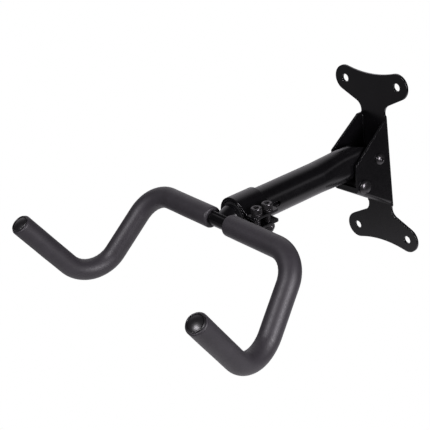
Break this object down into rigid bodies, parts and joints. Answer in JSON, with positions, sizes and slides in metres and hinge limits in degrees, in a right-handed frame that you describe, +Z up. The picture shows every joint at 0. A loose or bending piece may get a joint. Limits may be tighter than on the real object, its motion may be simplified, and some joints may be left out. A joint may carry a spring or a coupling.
{
  "type": "bicycle wall rack",
  "caption": "Wall-mounted bicycle rack: a bracket plate with a fold-up tubular arm, a band clamp and a foam-covered cradle whose dipped arms carry the top tube.",
  "frame": {"origin": "middle of the pattern of wall holes, in the plane of the wall plate's back face", "axes": "+Y into the wall, so the arm reaches out along -Y; +X to the right for a person who faces the wall; +Z up"},
  "size_m": [0.3395, 0.4319, 0.233],
  "materials": {
    "powder_coat": "satin black powder coat",
    "black_oxide": "black oxide, lightly oiled",
    "black_nylon": "matte moulded nylon",
    "foam_rubber": "matte closed-cell foam with a fine skin",
    "plug_plastic": "glossy moulded plastic"
  },
  "bodies": {
    "bracket": {"wall_plate": "powder_coat", "bracket_channel": "powder_coat", "channel_welds": "powder_coat", "pivot_bolt": "black_oxide", "pivot_washer": "black_oxide", "pivot_nut": "black_oxide", "support_bolt": "black_oxide", "support_sleeve": "black_nylon", "support_washer": "black_oxide", "support_nut": "black_oxide"},
    "arm": {"main_tube": "powder_coat", "pivot_bush": "black_nylon", "pivot_spacers": "black_nylon", "clamp_band": "powder_coat", "clamp_screws": "black_oxide", "clamp_washers": "black_oxide", "clamp_nuts": "black_oxide", "stem_bush": "black_nylon"},
    "cradle": {"stem_tube": "powder_coat", "stem_weld": "powder_coat", "cradle_tube": "powder_coat", "foam_sleeve_left": "foam_rubber", "foam_sleeve_right": "foam_rubber", "end_plug_left": "plug_plastic", "end_plug_right": "plug_plastic"}
  },
  "joints": [
    {"name": "arm_fold", "type": "hinge", "parent": "bracket", "child": "arm", "pos_m": [0, -0.018, 0.01], "axis": [-1, 0, 0], "range_deg": [0, 75]},
    {"name": "cradle_roll", "type": "hinge", "parent": "arm", "child": "cradle", "pos_m": [0, -0.238, 0.012], "axis": [0, -1, 0], "continuous": true}
  ]
}
